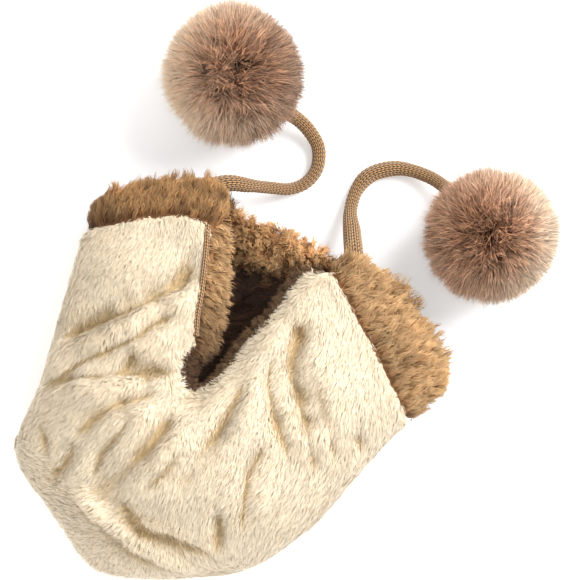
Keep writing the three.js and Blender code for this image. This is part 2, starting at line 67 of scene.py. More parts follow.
# The ties and their pompoms, in the source's millimetres: the tie's route from the flap to the pompom, shares
# of the way along it with its thickness there, and the pompom's middle and radius. The pompom's fur gets
# painted light on one side and painted shade on the other: the way to the lit side, the fur's brightness, its
# gradient that way, and a factor for the painted light on the tips.
TIES = {
    "left": {
        "route": [
            (-68.5, 135, 42), (-61, 142, 40), (-48, 149, 30), (-35, 156.5, 17), (-23.5, 163.5, 8.5),
            (-16, 173, 6.5), (-14, 185.5, 6.2), (-20.5, 199.5, 6.5), (-32, 206.5, 10), (-43, 209, 15),
            (-61, 208, 24),
        ],
        "thickness": ((0, 12.5), (0.16, 10.5), (0.22, 8.9), (0.45, 8.6), (0.65, 9.9), (1, 10.5)),
        "pompom": (-95, 209, 47),
        "radius": 50.0,
        "painted_light_side": (-0.87, -0.49, 0.0),
        "brightness": 1.1,
        "gradient": 0.6,
        "lit": 1.5,
    },
    "right": {
        "route": [
            (46, 133, 42), (40.5, 141, 39), (31, 156, 25), (22, 171, 11), (18.5, 187, 6.5), (21.5, 201, 6.2),
            (36.5, 215, 6.5), (58, 220, 10), (74, 218, 16), (87, 212.5, 24),
        ],
        "thickness": (
            (0, 13.8), (0.22, 12.6), (0.34, 9.3), (0.42, 9.3), (0.5, 11.4), (0.62, 11.4), (0.72, 9.6),
            (1, 9.6),
        ),
        "pompom": (116.5, 200, 45),
        "radius": 47.5,
        "painted_light_side": (0.87, 0.49, 0.0),
        "brightness": 1.25,
        "gradient": -0.25,
        "lit": 0.7,
    },
}
TIE_DIAMETER = 0.0115
STITCH_SLANT = 1.5

# Where the knitted tape runs along the left side of the face opening, in the source's millimetres.
TAPE_ROUTE = [(-61, 108), (-53, 92), (-42, 67), (-35.7, 50), (-30, 38)]

# Folds in the plush, in the source's millimetres: depth, width and the line that each follows. A ridge has a
# negative depth.
FOLDS = (
    (5.2, 6.5, ((-50, 82), (-53, 66), (-65, 44), (-75, 31), (-93, 10), (-107, -7))),
    (4.8, 6.0, ((-44, 48), (-55, 32), (-58, 23), (-85, -15), (-97, -42))),
    (5.0, 5.5, ((-57, 16), (-55, -4), (-62, -11))),
    (4.8, 5.5, ((-62, -11), (-84, -26), (-93, -39))),
    (4.5, 5.0, ((-27, 13), (-44, 0), (-61, -12))),
    (4.0, 5.5, ((-29, -5), (-48, -27), (-57, -44), (-61, -59))),
    (4.0, 6.0, ((-61, -59), (-58, -71), (-59, -87), (-54, -96))),
    (4.0, 5.5, ((-33, -24), (-38, -53), (-39, -60), (-36, -78))),
    (4.6, 5.5, ((-11, -13), (-13, -29), (-15, -44), (-19, -55))),
    (3.0, 5.0, ((4, -28), (2, -50), (-4, -68))),
    (3.2, 5.0, ((-89, -61), (-79, -71), (-67, -80))),
    (3.4, 4.0, ((-13, -78), (0, -89), (8, -93), (23, -88), (40, -85), (58, -82))),
    (-2.0, 4.5, ((-33, -95), (4, -101), (26, -101), (50, -97))),
    (3.5, 5.0, ((-17, -103), (6, -109), (30, -108))),
    (3.6, 4.0, ((45, -50), (52, -65), (59, -81))),
    (4.0, 6.0, ((50, 2), (52, -22), (63, -51), (67, -60))),
    (2.8, 4.5, ((29, 84), (35, 74), (39, 54), (56, 37), (73, 19), (91, 0))),
    (3.6, 5.0, ((26, 55), (35, 34), (51, 16), (71, -1))),
    (4.5, 5.5, ((20, 31), (20, -9), (17, -23))),
    (2.4, 6.0, ((57, 60), (81, 32), (98, 12))),
    (4.0, 6.0, ((99, 39), (111, 26))),
)
# Across a fold: the power of its profile, and the height, place and width of the swelling beside it, as
# shares of its depth and width. Along it: how far from its ends it fades, in metres, and what is left there.
FOLD_POWER = 1.3
SWELL_HEIGHT, SWELL_PLACE, SWELL_WIDTH = 0.25, 1.9, 0.8
FADE_LENGTH, FADE_END = 0.012, 0.15
# The shaded line at the bottom of a fold: its width in metres, and from which depth it is full, in
# millimetres.
CREASE_WIDTH, CREASE_DEPTH = 0.0018, 4.5

PLUSH_NODES = ("hood_side", "crown_panel")
SHELL_NODES = (*PLUSH_NODES, "fur_lining", "neck_cuff", "face_binding")

# Strands stay this far over the floor, in metres.
STRAND_FLOOR = 0.0002


def linear(colour):
    """An sRGB colour as linear values."""
    return tuple(c / 12.92 if c <= 0.04045 else ((c + 0.055) / 1.055) ** 2.4 for c in colour[:3])


def to_frame(points):
    """Points in the source's millimetres as points of the frame, in metres."""
    return (np.asarray(points, float) - MIDDLE[: len(points[0])]) * MM


# Settings of the pieces


def colour_property(name, description, default):
    return FloatVectorProperty(
        name=name, description=description, subtype="COLOR", size=3, min=0, max=1, default=default
    )


def length_property(name, description, default):
    return FloatProperty(
        name=name, description=description, default=default, min=0, unit="LENGTH", precision=4
    )


def strands_property(description, default):
    return IntProperty(name="Strands", description=description, default=default, min=100)


class HoodPlush(bpy.types.PropertyGroup):
    tip: colour_property("Tip", "Colour of the pile's tips", (0.97, 0.915, 0.82))
    # The root colour is darker than the tip: painted shade deep in the pile.
    root: colour_property("Root", "Colour deep in the pile", (0.90, 0.825, 0.69))
    # The valley colour is painted shade in the folds of the pile.
    valley_shade: colour_property("Valley", "Colour of the pile in folds", (0.86, 0.73, 0.51))
    length: length_property("Pile length", "Length of a strand of the pile", 0.0070)
    strands: strands_property(
        "Strands on the side and the crown panel, before hidden ones are left out", 155000
    )


class HoodFur(bpy.types.PropertyGroup):
    tip: colour_property("Tip", "Colour of the fur's tips", (0.82, 0.69, 0.51))
    middle: colour_property("Middle", "Colour halfway up the fur", (0.63, 0.465, 0.30))
    # The root colour is darker than the tip: painted shade deep in the fur.
    root: colour_property("Root", "Colour deep in the fur", (0.42, 0.25, 0.12))
    # The lining's colour is the fur's brown darkened by painted shade inside the hood; it also gives the
    # binding's painted shade.
    lining: colour_property("Lining", "Colour of the fur inside the hood", (0.31, 0.205, 0.135))
    length: length_property("Fur length", "Length of a strand of the fur", 0.0145)
    strands: strands_property("Strands on the cuff, before hidden ones are left out", 56500)


class HoodPompoms(bpy.types.PropertyGroup):
    # The light colour is painted light on one side of each pompom, and the grey one painted shade on the
    # other.
    light: colour_property("Light", "Colour of the fur at the light side", (1.0, 0.91, 0.80))
    shaded_grey: colour_property("Grey", "Colour of the fur at the dark side", (0.76, 0.63, 0.53))
    # The root colour is darker than the tips: painted shade deep in the fur.
    root: colour_property("Root", "Colour deep in the fur", (0.36, 0.21, 0.14))
    middle: colour_property("Middle", "Colour halfway up the fur", (0.57, 0.39, 0.27))
    strands: strands_property("Strands on each pompom", 43000)


class HoodTies(bpy.types.PropertyGroup):
    yarn: colour_property("Yarn", "Colour of the knitted yarn", (0.76, 0.58, 0.37))
    # The gap colour is painted shade between the stitches.
    gap: colour_property("Gap", "Colour between the stitches", (0.17, 0.09, 0.04))
    diameter: length_property("Diameter", "Thickness of a tie", TIE_DIAMETER)


class HoodStage(bpy.types.PropertyGroup):
    floor: colour_property("Floor", "Colour of the floor", (0.985, 0.99, 1.0))


# Materials


def put(socket, value):
    """Gives a socket a link or a value."""
    if isinstance(value, bpy.types.NodeSocket):
        socket.id_data.links.new(value, socket)
    else:
        socket.default_value = value


def fill(target, **values):
    """Gives a node its settings and named inputs. In an input's name, _ stands for a space."""
    for key, value in values.items():
        socket = target.inputs.get(key.replace("_", " "))
        if socket is None:
            setattr(target, key, value)
        else:
            put(socket, value)
    return target


def node(tree, kind, *sockets, **values):
    """A new node, whose first inputs may be given in order."""
    new = fill(tree.nodes.new(kind), **values)
    for value, socket in zip(sockets, new.inputs):
        put(socket, value)
    return new


def maths(tree, operation, *values):
    """The result of an operation on values and sockets."""
    return node(tree, "ShaderNodeMath", *values, operation=operation).outputs[0]


def mottled(tree, factor, low, high):
    """A mix of two sRGB colours."""
    new = node(tree, "ShaderNodeMix", factor, data_type="RGBA")
    for i, colour in ((6, low), (7, high)):
        new.inputs[i].default_value = (*linear(colour), 1)
    return new.outputs[2]


def new_material(name):
    """A material with its node tree and Principled shader."""
    material = bpy.data.materials.new(name)
    material.use_nodes = True
    return material, material.node_tree, material.node_tree.nodes["Principled BSDF"]


def fibre_group():
    """A group that varies a colour's brightness finely, and also gives the noise that it does so with."""
    group = bpy.data.node_groups.get("Fibre")
    if group:
        return group
    group = bpy.data.node_groups.new("Fibre", "ShaderNodeTree")
    face = group.interface
    face.new_socket("Colour", in_out="INPUT", socket_type="NodeSocketColor")
    for name, value in (("Variation", 0.2), ("Scale", 900.0)):
        face.new_socket(name, in_out="INPUT", socket_type="NodeSocketFloat").default_value = value
    face.new_socket("Colour", in_out="OUTPUT", socket_type="NodeSocketColor")
    face.new_socket("Height", in_out="OUTPUT", socket_type="NodeSocketFloat")
    source = node(group, "NodeGroupInput").outputs
    place = node(group, "ShaderNodeTexCoord").outputs["Object"]
    noise = node(group, "ShaderNodeTexNoise", Vector=place, Scale=source["Scale"], Detail=3.0).outputs["Fac"]
    spread = maths(group, "MULTIPLY", maths(group, "SUBTRACT", noise, 0.5), source["Variation"])
    value = maths(group, "ADD", spread, 1.0)
    shade = node(group, "ShaderNodeHueSaturation", Color=source["Colour"], Value=value)
    node(group, "NodeGroupOutput", Colour=shade.outputs["Color"], Height=noise)
    return group


def fibres(tree, colour, **values):
    """The fibre group's outputs for a colour."""
    return node(tree, "ShaderNodeGroup", node_tree=fibre_group(), Colour=colour, **values).outputs


def strand_material(name, roughness, sheen, variation=0.3):
    """Material of pile and fur, whose colours stand in the mesh's colour attribute."""
    material, tree, shader = new_material(name)
    colour = node(tree, "ShaderNodeVertexColor", layer_name="fibre").outputs["Color"]
    colour = fibres(tree, colour, Variation=variation)["Colour"]
    fill(shader, Base_Color=colour, Roughness=roughness, Specular_IOR_Level=0.25, Sheen_Weight=sheen)
    return material


def knit_material(name, yarn, gap, courses, wales):
    """Material of stockinette, with painted shade between its stitches where the knit is low: courses a metre
    along, and wales around.
    """
    material, tree, shader = new_material(name)
    place = node(tree, "ShaderNodeUVMap", uv_map="knit").outputs["UV"]
    split = node(tree, "ShaderNodeSeparateXYZ", place).outputs
    wale = maths(tree, "FRACT", maths(tree, "MULTIPLY", split["X"], float(wales)))
    half = maths(tree, "ABSOLUTE", maths(tree, "SUBTRACT", wale, 0.5))
    along = maths(tree, "MULTIPLY", split["Y"], float(courses))
    slant = maths(tree, "ADD", along, maths(tree, "MULTIPLY", half, STITCH_SLANT))
    course = maths(tree, "ABSOLUTE", maths(tree, "SUBTRACT", maths(tree, "FRACT", slant), 0.5))
    leg = maths(tree, "ABSOLUTE", maths(tree, "SUBTRACT", half, 0.25))
    leg = maths(tree, "SUBTRACT", 1.0, maths(tree, "POWER", maths(tree, "MULTIPLY", leg, 4.0), 2.0))
    course = maths(tree, "SUBTRACT", 1.0, maths(tree, "POWER", maths(tree, "MULTIPLY", course, 2.0), 3.0))
    height = maths(tree, "MULTIPLY", leg, course)
    # Painted shade: where the knit is low, between the stitches, the yarn's colour gives way to the gap's dark
    # one.
    share = maths(tree, "MULTIPLY", maths(tree, "SUBTRACT", height, 0.28), 2.0)
    colour = fibres(tree, mottled(tree, share, gap, yarn), Variation=0.35, Scale=1800.0)["Colour"]
    bump = node(tree, "ShaderNodeBump", Strength=0.9, Distance=0.0006, Height=height).outputs["Normal"]
    fill(shader, Base_Color=colour, Normal=bump, Roughness=0.85, Sheen_Weight=0.35)
    return material


def cloth_material(name, colour, deep):
    """Material of the backing under pile or fur: mottled, with a bump of short fibres."""
    material, tree, shader = new_material(name)
    place = node(tree, "ShaderNodeTexCoord").outputs["Object"]
    noise = node(tree, "ShaderNodeTexNoise", Vector=place, Scale=260.0, Detail=4.0).outputs["Fac"]
    group = fibres(tree, mottled(tree, noise, deep, colour))
    bump = node(tree, "ShaderNodeBump", Strength=0.6, Distance=0.001, Height=group["Height"])
    fill(shader, Base_Color=group["Colour"], Normal=bump.outputs["Normal"], Roughness=0.95, Sheen_Weight=0.2)
    return material


# Meshes


def placed(name, data):
    """A new object in the scene."""
    new = bpy.data.objects.new(name, data)
    bpy.context.scene.collection.objects.link(new)
    return new


def add_object(name, mesh, material, replaces=()):
    """A piece of the hood from a mesh."""
    piece = placed(name, mesh)
    mesh.materials.append(material)
    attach(piece, BODY)
    if replaces:
        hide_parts(*replaces)
    return piece


def mesh_from(name, vertices, faces, smooth=True):
    """A mesh from lists or arrays of points and faces."""
    mesh = bpy.data.meshes.new(name)
    mesh.from_pydata([tuple(v) for v in vertices], [], [tuple(f) for f in faces])
    if smooth:
        mesh.shade_smooth()
    return mesh


def read(items, key, width=3):
    """One property of a mesh's items as an array."""
    values = np.empty(len(items) * width)
    items.foreach_get(key, values)
    return values.reshape(-1, width)


def search_tree(points):
    """A tree that finds the nearest of the points."""
    tree = KDTree(len(points))
    for i, point in enumerate(points):
        tree.insert(point, i)
    tree.balance()
    return tree


def owned_by(owners, *names):
    """Which owners are the named solids."""
    return np.isin(owners, [SHELL_NODES.index(name) for name in names])


def unit(v):
    """Vectors at length 1."""
    return v / np.maximum(np.linalg.norm(v, axis=-1, keepdims=True), 1e-9)


def smooth_vertices(vertices, edges, passes, factor=0.5):
    """Vertices moved toward the mean of their neighbours, as often as asked."""
    count = len(vertices)
    degree = np.bincount(edges.ravel(), minlength=count)[:, None]
    result = vertices.copy()
    for _ in range(passes):
        total = np.zeros_like(result)
        for axis in range(3):
            total[:, axis] = np.bincount(edges[:, 0], result[edges[:, 1], axis], count)
            total[:, axis] += np.bincount(edges[:, 1], result[edges[:, 0], axis], count)
        result += factor * (total / np.maximum(degree, 1) - result)
    return result


def main_body(count, edges):
    """Which vertices belong to the largest connected part of a mesh."""
    labels = np.arange(count)
    while True:
        lowest = labels.copy()
        np.minimum.at(lowest, edges[:, 0], labels[edges[:, 1]])
        np.minimum.at(lowest, edges[:, 1], labels[edges[:, 0]])
        lowest = lowest[lowest]
        if (lowest == labels).all():
            return labels == np.bincount(labels).argmax()
        labels = lowest


def waves(points, scale, seed, count=7):
    """Smooth pseudo-random values from about -1 to 1 at points, varying over lengths of the scale."""
    rng = np.random.default_rng(seed)
    total = np.zeros(len(points))
    for _ in range(count):
        direction = unit(rng.normal(size=3)) * (2 * math.pi / scale) * rng.uniform(0.6, 1.5)
        total += np.sin(points @ direction + rng.uniform(0, 2 * math.pi))
    return total / math.sqrt(count)


def folds_at(points):
    """How deep the folds are at points, in metres, and how near the bottom of one each is, up to 1."""
    deepest, swell, bottom = np.zeros((3, len(points)))
    for depth, width, line in FOLDS:
        line = to_frame(line)
        steps = np.linalg.norm(np.diff(line, axis=0), axis=1)
        nearest, along = np.full(len(points), np.inf), np.zeros(len(points))
        for k, (a, b) in enumerate(pairs(line)):
            share = np.clip((points[:, :2] - a) @ (b - a) / steps[k] ** 2, 0, 1)
            distance = np.linalg.norm(points[:, :2] - a - share[:, None] * (b - a), axis=1)
            closer = distance < nearest
            nearest[closer] = distance[closer]
            along[closer] = (steps[:k].sum() + share * steps[k])[closer]
        fade = np.clip(FADE_END + np.minimum(along, steps.sum() - along) / FADE_LENGTH, 0, 1)
        u = nearest / (width * MM)
        if depth > 0:
            beside = np.exp(-((u - SWELL_PLACE) ** 2) / SWELL_WIDTH)
            crease = np.exp(-((nearest / CREASE_WIDTH) ** 2))
            deepest = np.maximum(deepest, fade * depth * MM * np.exp(-(u**FOLD_POWER)))
            swell = np.maximum(swell, SWELL_HEIGHT * fade * depth * MM * beside)
            bottom = np.maximum(bottom, fade * min(depth / CREASE_DEPTH, 1) * crease)
        else:
            swell = np.maximum(swell, -fade * depth * MM * np.exp(-(u**2)))
    return deepest - swell, bottom


class Shell:
    """The smooth surface of the hood, made from its solids, with the solid that each face belongs to."""

    voxel = 0.0026
    # Passes of smoothing: for the surface, its calm part, the broad form that hollows lie under, and the
    # room.
    passes, calm_passes, broad_passes, room_passes = 10, 180, 50, 5
    # The fur's room: how deep the backing lies under its solid, and at most which share of the wall. A ray
    # finds the wall, from its start to its reach.
    room, least_room = {"neck_cuff": 0.0045, "face_binding": 0.0022}, 0.0006
    room_share = 0.3
    ray_start, ray_reach = 0.0003, 0.02
    # Folds fade in over the blend, upward from the side's height. The calm part is left of and below the
    # corner.
    blend, side_height, upward_gain = 0.02, 0.02, 1.6
    calm_corner = (-0.035, -0.03)
    floor_gap = 0.0004
    # Creases are full at this depth, on faces that look up. They give the pile painted shade.
    crease_depth, crease_upward = 0.005, 0.3
    # How far roots are moved along the surface, and how far over it the look for free space starts.
    root_jitter, root_lift = 0.001, 0.0012

    def __init__(self):
        vertices, faces, owners = [], [], []
        for k, name in enumerate(SHELL_NODES):
            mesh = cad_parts[name].data
            start = len(vertices)
            vertices += [v.co[:] for v in mesh.vertices]
            faces += [[start + i for i in p.vertices] for p in mesh.polygons]
            owners += [k] * len(mesh.polygons)
        self.solid_tree = BVHTree.FromPolygons(vertices, faces)
        mesh = self.remeshed(vertices, faces)
        self.polygons = [p.vertices[:] for p in mesh.polygons]
        self.corners = np.array(self.polygons)
        edges = np.array([e.vertices[:] for e in mesh.edges])
        points = smooth_vertices(read(mesh.vertices, "co"), edges, self.passes)
        self.take(mesh, points)
        self.owners, solids = (
            np.array([owners[self.solid_tree.find_nearest(p)[2]] for p in places])
            for places in (self.centres, points)
        )
        points = self.folded(points, edges, solids)
        broad = smooth_vertices(points, edges, self.broad_passes)
        self.owners[~main_body(len(points), edges)[self.corners[:, 0]]] = -1
        self.take(mesh, points)
        # How deep each point lies under the broad form; the pile in these hollows gets painted shade.
        hollow = ((broad - points) * self.point_normals).sum(axis=1)
        self.depth = hollow[self.corners].mean(axis=1)
        crease = np.clip(folds_at(self.centres)[0] / self.crease_depth, 0, 1)
        self.creases = crease**2 * (self.normals[:, 2] > self.crease_upward)
        self.tree = BVHTree.FromPolygons([tuple(p) for p in points], self.polygons)

    def remeshed(self, vertices, faces):
        """One closed mesh of small squares round the solids."""
        source = placed("joined", mesh_from("joined", vertices, faces, smooth=False))
        remesh = source.modifiers.new("remesh", "REMESH")
        remesh.mode = "VOXEL"
        remesh.voxel_size = self.voxel
        evaluated = source.evaluated_get(bpy.context.evaluated_depsgraph_get())
        mesh = bpy.data.meshes.new_from_object(evaluated)
        bpy.data.objects.remove(source)
        return mesh

    def take(self, mesh, points):
        """Moves the mesh to the points, and keeps what the pieces are made from."""
        mesh.vertices.foreach_set("co", points.ravel())
        mesh.update()
        self.vertices, self.point_normals = read(mesh.vertices, "co"), read(mesh.vertices, "normal")
        self.centres, self.normals = read(mesh.polygons, "center"), read(mesh.polygons, "normal")
        self.areas = read(mesh.polygons, "area", 1)[:, 0]

    def room_under(self, points, solids):
        """How deep the backing may lie under each point."""
        room = np.array([self.room.get(name, self.least_room) for name in SHELL_NODES])[solids]
        surface = BVHTree.FromPolygons([tuple(p) for p in points], self.polygons)
        for i, (point, normal) in enumerate(zip(points, self.point_normals)):
            inward = Vector(-normal)
            wall = surface.ray_cast(Vector(point) + inward * self.ray_start, inward, self.ray_reach)[3]
            if wall:
                room[i] = min(room[i], self.room_share * wall)
        return room

    def folded(self, points, edges, solids):
        """The points with the calm part smoothed, folds in the plush, and room for the fur."""
        normals = self.point_normals
        room = np.repeat(self.room_under(points, solids)[:, None], 3, axis=1)
        room = smooth_vertices(room, edges, self.room_passes)
        upward = np.clip(normals[:, 2] * self.upward_gain, 0, 1)
        upward *= self.rising(points[:, 2] - self.side_height)
        x, y = self.calm_corner
        calm = self.rising(x - points[:, 0]) * self.rising(y - points[:, 1]) * upward
        points = points + (smooth_vertices(points, edges, self.calm_passes) - points) * calm[:, None]
        folds = folds_at(points)[0] * upward * owned_by(solids, *PLUSH_NODES)
        points -= normals * folds[:, None] + normals * room
        points[:, 2] = np.maximum(points[:, 2], self.floor_gap)
        return points

    def rising(self, distance):
        """From 0 to 1 over the blend."""
        return np.clip(distance / self.blend, 0, 1)

    def faces_of(self, *names):
        """Which faces belong to the named solids."""
        return owned_by(self.owners, *names)

    def toward(self, points, names, reach):
        """How near points are to the named solids, from 0 at the reach to 1 on them, and the way there."""
        tree = search_tree(self.centres[self.faces_of(*names)])
        nearest = np.array([tree.find(p)[0][:] for p in points])
        distance = np.linalg.norm(nearest - points, axis=1)
        return np.clip(1 - distance / reach, 0, 1), unit(nearest - points)

    def outside(self, points):
        """How far points stand out of the solids, in metres, and 0 inside them."""
        found = [self.solid_tree.find_nearest(p) for p in points]
        nearest = np.array([f[0][:] for f in found])
        normals = np.array([f[1][:] for f in found])
        away = points - nearest
        return np.linalg.norm(away, axis=1) * ((away * normals).sum(axis=1) > 0)

    def piece(self, name, chosen):
        """A mesh of the chosen faces."""
        corners = self.corners[chosen]
        used, places = np.unique(corners, return_inverse=True)
        return mesh_from(name, self.vertices[used], places.reshape(corners.shape))

    def roots(self, chosen, count, seed, clear):
        """Random points on the chosen faces, spread by area, with their normals and faces. Those are left out
        whose normal meets the surface again within the clear length."""
        rng = np.random.default_rng(seed)
        index = np.flatnonzero(chosen)
        share = self.areas[index]
        picked = rng.choice(index, size=count, p=share / share.sum())
        u, v = rng.random((2, count, 1))

        def blend(values):
            a, b, c, d = (values[self.corners[picked, k]] for k in range(4))
            return (1 - u) * (1 - v) * a + u * (1 - v) * b + u * v * c + (1 - u) * v * d

        normals = unit(blend(self.point_normals))
        points = blend(self.vertices) + np.cross(normals, rng.normal(size=(count, 3))) * self.root_jitter
        points = np.array([self.tree.find_nearest(p)[0][:] for p in points])
        keep = np.ones(count, bool)
        for i, (p, n) in enumerate(zip(points, normals)):
            start = Vector(p) + Vector(n) * self.root_lift
            keep[i] = self.tree.ray_cast(start, Vector(n), clear)[0] is None
        return points[keep], normals[keep], picked[keep]


class Tufts:
    """Strands in tufts, round middles that are chosen at random, and random draws for them."""

    def __init__(self, rng, points, size, seed):
        self.rng, self.strands, self.tufts = rng, len(points), len(points) // size
        middles = np.random.default_rng(seed).choice(self.strands, size=self.tufts, replace=False)
        tree = search_tree(points[middles])
        self.tuft = np.array([tree.find(p)[1] for p in points])
        self.middle = middles[self.tuft]

    def single(self, *shape):
        """A draw for each strand."""
        return self.rng.normal(size=(self.strands, *shape))

    def shared(self, *shape):
        """A draw for each tuft, for its strands to share."""
        return self.rng.normal(size=(self.tufts, *shape))[self.tuft]

    def turned(self, facing):
        """The way that each strand's blade faces, near the one given."""
        return facing + np.clip(self.single(3) * 0.25, -0.5, 0.5)


def strands_mesh(name, levels, facing, widths, colours, shading):
    """A mesh of blades that are pointed at both ends, from arrays of their points and colours, root to tip.
    Facing is the way that a blade faces, and shading the normal that it is shaded with."""
    count, last = len(levels[0]), len(levels) - 1
    aside = unit(np.cross(facing, levels[last] - levels[0])) * widths[:, None] / 2
    rungs = [(0, 0), *((k, way) for k in range(1, last) for way in (-1, 1)), (last, 0)]
    points = np.stack([levels[k] + way * aside for k, way in rungs], axis=1)
    points[:, :, 2] = np.maximum(points[:, :, 2], STRAND_FLOOR)
    size, number = len(rungs), np.arange(count)[:, None]
    corners = [[a, a + 2, a + 3, a + 1] for a in range(1, size - 3, 2)]
    corners = [[0, 1, 2], *corners, [size - 3, size - 1, size - 2]]
    pattern, starts = np.concatenate(corners), np.cumsum([0, *(len(face) for face in corners[:-1])])
    mesh = bpy.data.meshes.new(name)
    mesh.vertices.add(count * size)
    mesh.vertices.foreach_set("co", points.ravel())
    mesh.loops.add(count * len(pattern))
    mesh.loops.foreach_set("vertex_index", (number * size + pattern).ravel())
    mesh.polygons.add(count * len(starts))
    mesh.polygons.foreach_set("loop_start", (number * len(pattern) + starts).ravel())
    mesh.update(calc_edges=True)
    mesh.shade_smooth()
    mesh.normals_split_custom_set_from_vertices(np.repeat(shading, size, axis=0))
    shades = np.ones((count, size, 4))
    shades[:, :, :3] = np.stack([colours[k] for k, _ in rungs], axis=1)
    layer = mesh.color_attributes.new("fibre", "FLOAT_COLOR", "POINT")
    layer.data.foreach_set("color", shades.ravel())
    return mesh


def tinted(colour, brightness):
    """A colour for each brightness: the factors are limited, so that the hue stays."""
    base = np.array(linear(colour))
    return base[None, :] * np.clip(brightness, 0, 1 / base.max())[:, None]


def mixed(a, b, share):
    """Colours a, with a share of b."""
    share = np.clip(share, 0, 1)[:, None]
    return a * (1 - share) + b * share


def tube(name, centres, radius, around, ridges=None):
    """A closed tube along points, with a radius for each ring, and a map round and along it for the knit. The
    ridges give a factor of the radius for a ring's number and the angles round it."""
    centres = np.asarray(centres)
    count = len(centres)
    tangents = unit(np.gradient(centres, axis=0))
    normal = unit(np.cross(tangents[0], (0.0, 0.0, 1.0)))
    rings = []
    angles = np.linspace(0, 2 * math.pi, around, endpoint=False)
    for k in range(count):
        normal = unit(normal - tangents[k] * (normal @ tangents[k]))
        other = np.cross(tangents[k], normal)
        r = radius[k] * (1.0 if ridges is None else ridges(k, angles))
        r = np.broadcast_to(r, (around,))
        spokes = np.cos(angles)[:, None] * normal + np.sin(angles)[:, None] * other
        rings.append(centres[k] + r[:, None] * spokes)
    vertices = np.concatenate([np.concatenate(rings), centres[:1], centres[-1:]])
    start, end = count * around, count * around + 1
    faces, maps = [], []
    distance = np.concatenate([[0], np.cumsum(np.linalg.norm(np.diff(centres, axis=0), axis=1))])
    for k in range(count - 1):
        for i in range(around):
            j = (i + 1) % around
            faces.append((k * around + i, k * around + j, (k + 1) * around + j, (k + 1) * around + i))
            u0, u1 = i / around, (i + 1) / around
            maps += [(u0, distance[k]), (u1, distance[k]), (u1, distance[k + 1]), (u0, distance[k + 1])]
    for i in range(around):
        j = (i + 1) % around
        faces.append((start, j, i))
        maps += [(0, 0)] * 3
        faces.append((end, (count - 1) * around + i, (count - 1) * around + j))
        maps += [(0, distance[-1])] * 3
    mesh = mesh_from(name, vertices, faces)
    layer = mesh.uv_layers.new(name="knit")
    layer.data.foreach_set("uv", np.array(maps, float).ravel())
    return mesh


def pairs(items):
    """Each item with the next."""
    return zip(items, items[1:])


def between(a, b, low, high, t):
    """The point at t on the line from a at low to b at high."""
    return a * (high - t) / (high - low) + b * (t - low) / (high - low)


def smooth_route(points, count):
    """Evenly spaced points on a centripetal curve through the given ones."""
    points = np.asarray(points, float)
    padded = [2 * points[0] - points[1], *points, 2 * points[-1] - points[-2]]
    dense = []
    for i in range(len(padded) - 3):
        controls, knots = padded[i : i + 4], [0.0]
        for p, q in pairs(controls):
            knots.append(knots[-1] + np.linalg.norm(q - p) ** 0.5)
        for t in np.linspace(knots[1], knots[2], 24, endpoint=False):
            a, b, c = (between(*ends, *span, t) for ends, span in zip(pairs(controls), pairs(knots)))
            a, b = between(a, b, knots[0], knots[2], t), between(b, c, knots[1], knots[3], t)
            dense.append(between(a, b, knots[1], knots[2], t))
    dense = np.array(dense + [points[-1]])
    distance = np.concatenate([[0], np.cumsum(np.linalg.norm(np.diff(dense, axis=0), axis=1))])
    wanted = np.linspace(0, distance[-1], count)
    return np.stack([np.interp(wanted, distance, dense[:, k]) for k in range(3)], axis=1)


# Pieces

# What one operator makes and a later one needs.
made = {}


class HOOD_OT_stage(bpy.types.Operator):
    """Floor, soft lights and the camera at the photograph's angle"""

    bl_idname = "hood.stage"
    bl_label = "Stage"

    floor_corners = ((-6, -6, 0), (6, -6, 0), (6, 6, 0), (-6, 6, 0))
    floor_glow = 0.3
    sky_colour = (1.0, 0.98, 0.95, 1)
    sky_strength = 0.72
    aim = (0, 0.05, 0)
    # Each light's name, place, size and power. All are turned to the aim.
    lights = (
        ("key", (0.5, 1.05, 0.95), 1.1, 30.0),
        ("fill", (-1.5, 0.4, 1.2), 1.4, 4.0),
        ("front", (0.6, -1.4, 1.3), 1.2, 6.0),
    )

    def execute(self, context):
        scene = context.scene
        scene.view_settings.view_transform = "Standard"
        azimuth, elevation = math.radians(VIEW_AZIMUTH), math.radians(VIEW_ELEVATION)
        level = math.cos(elevation)
        back = Vector((math.sin(azimuth) * level, -math.cos(azimuth) * level, math.sin(elevation)))
        right = Vector((math.cos(azimuth), math.sin(azimuth), 0))
        up = back.cross(right)
        data = bpy.data.cameras.new("camera")
        data.lens = LENS_MM
        data.sensor_width = SENSOR_MM
        camera = placed("camera", data)
        place = Vector(VIEW_AIM) + back * VIEW_WIDTH * LENS_MM / SENSOR_MM
        camera.matrix_world = Matrix.Translation(place) @ Matrix((right, up, back)).transposed().to_4x4()
        scene.camera = camera

        floor_mesh = mesh_from("floor", self.floor_corners, [(0, 1, 2, 3)], smooth=False)
        floor = placed("floor", floor_mesh)
        material, _, shader = new_material("floor")
        fill(shader, Base_Color=(*linear(scene.hood_stage.floor), 1), Roughness=0.9, Specular_IOR_Level=0.1)
        fill(shader, Emission_Color=(1.0, 1.0, 1.0, 1), Emission_Strength=self.floor_glow)
        floor_mesh.materials.append(material)

        world = bpy.data.worlds.new("studio")
        world.use_nodes = True
        fill(world.node_tree.nodes["Background"], Color=self.sky_colour, Strength=self.sky_strength)
        scene.world = world
        for name, place, size, power in self.lights:
            lamp = bpy.data.lights.new(name, "AREA")
            lamp.shape = "DISK"
            lamp.size = size
            lamp.energy = power
            light = placed(name, lamp)
            light.location = place
            light.rotation_mode = "QUATERNION"
            light.rotation_quaternion = (Vector(place) - Vector(self.aim)).to_track_quat("Z", "Y")
        return {"FINISHED"}


